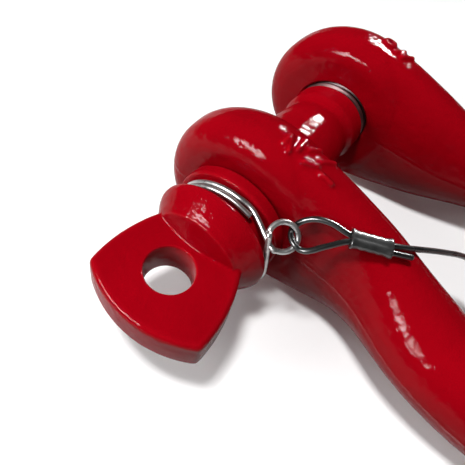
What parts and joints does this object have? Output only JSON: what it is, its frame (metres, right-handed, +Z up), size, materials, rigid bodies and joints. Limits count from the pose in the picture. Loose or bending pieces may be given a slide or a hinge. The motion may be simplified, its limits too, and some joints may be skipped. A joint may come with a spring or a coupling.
{
  "type": "screw pin shackle",
  "caption": "Forged bow shackle whose screw pin has a fishtail handle; a loose wire ring in the pin's groove is tied to the bow by a coated wire rope lanyard.",
  "frame": {"origin": "on the pin's axis, midway between the two eyes", "axes": "+Y along the pin from its fishtail head to its threaded tip; +X towards the crown; +Z up, with the shackle lying on its eyes and crown"},
  "size_m": [0.3104, 0.269, 0.108],
  "materials": {
    "bow_paint": "thick gloss red paint over forged steel",
    "pin_paint": "thick gloss red paint over forged steel",
    "ring_wire": "drawn stainless wire",
    "rope_jacket": "black extruded coating over wire rope",
    "sleeve_black": "black coated crimped sleeve"
  },
  "bodies": {
    "bow": {"bow": "bow_paint", "bow_sleeve": "sleeve_black", "lanyard_rope": "rope_jacket"},
    "ring": {"pin_ring": "ring_wire", "ring_sleeve": "sleeve_black"},
    "pin": {"screw_pin": "pin_paint"}
  },
  "joints": [
    {"name": "pin_travel", "type": "slide", "parent": "bow", "child": "ring", "axis": [0, -1, 0], "range_m": [0, 0.1625], "deforming": ["lanyard_rope"]},
    {"name": "pin_turn", "type": "hinge", "parent": "ring", "child": "pin", "pos_m": [0, 0, 0], "axis": [0, -1, 0], "range_deg": [0, 9720]}
  ],
  "couplings": [
    {"joint": "pin_travel", "follows": "pin_turn", "m_per_rad": 0.00095493}
  ]
}
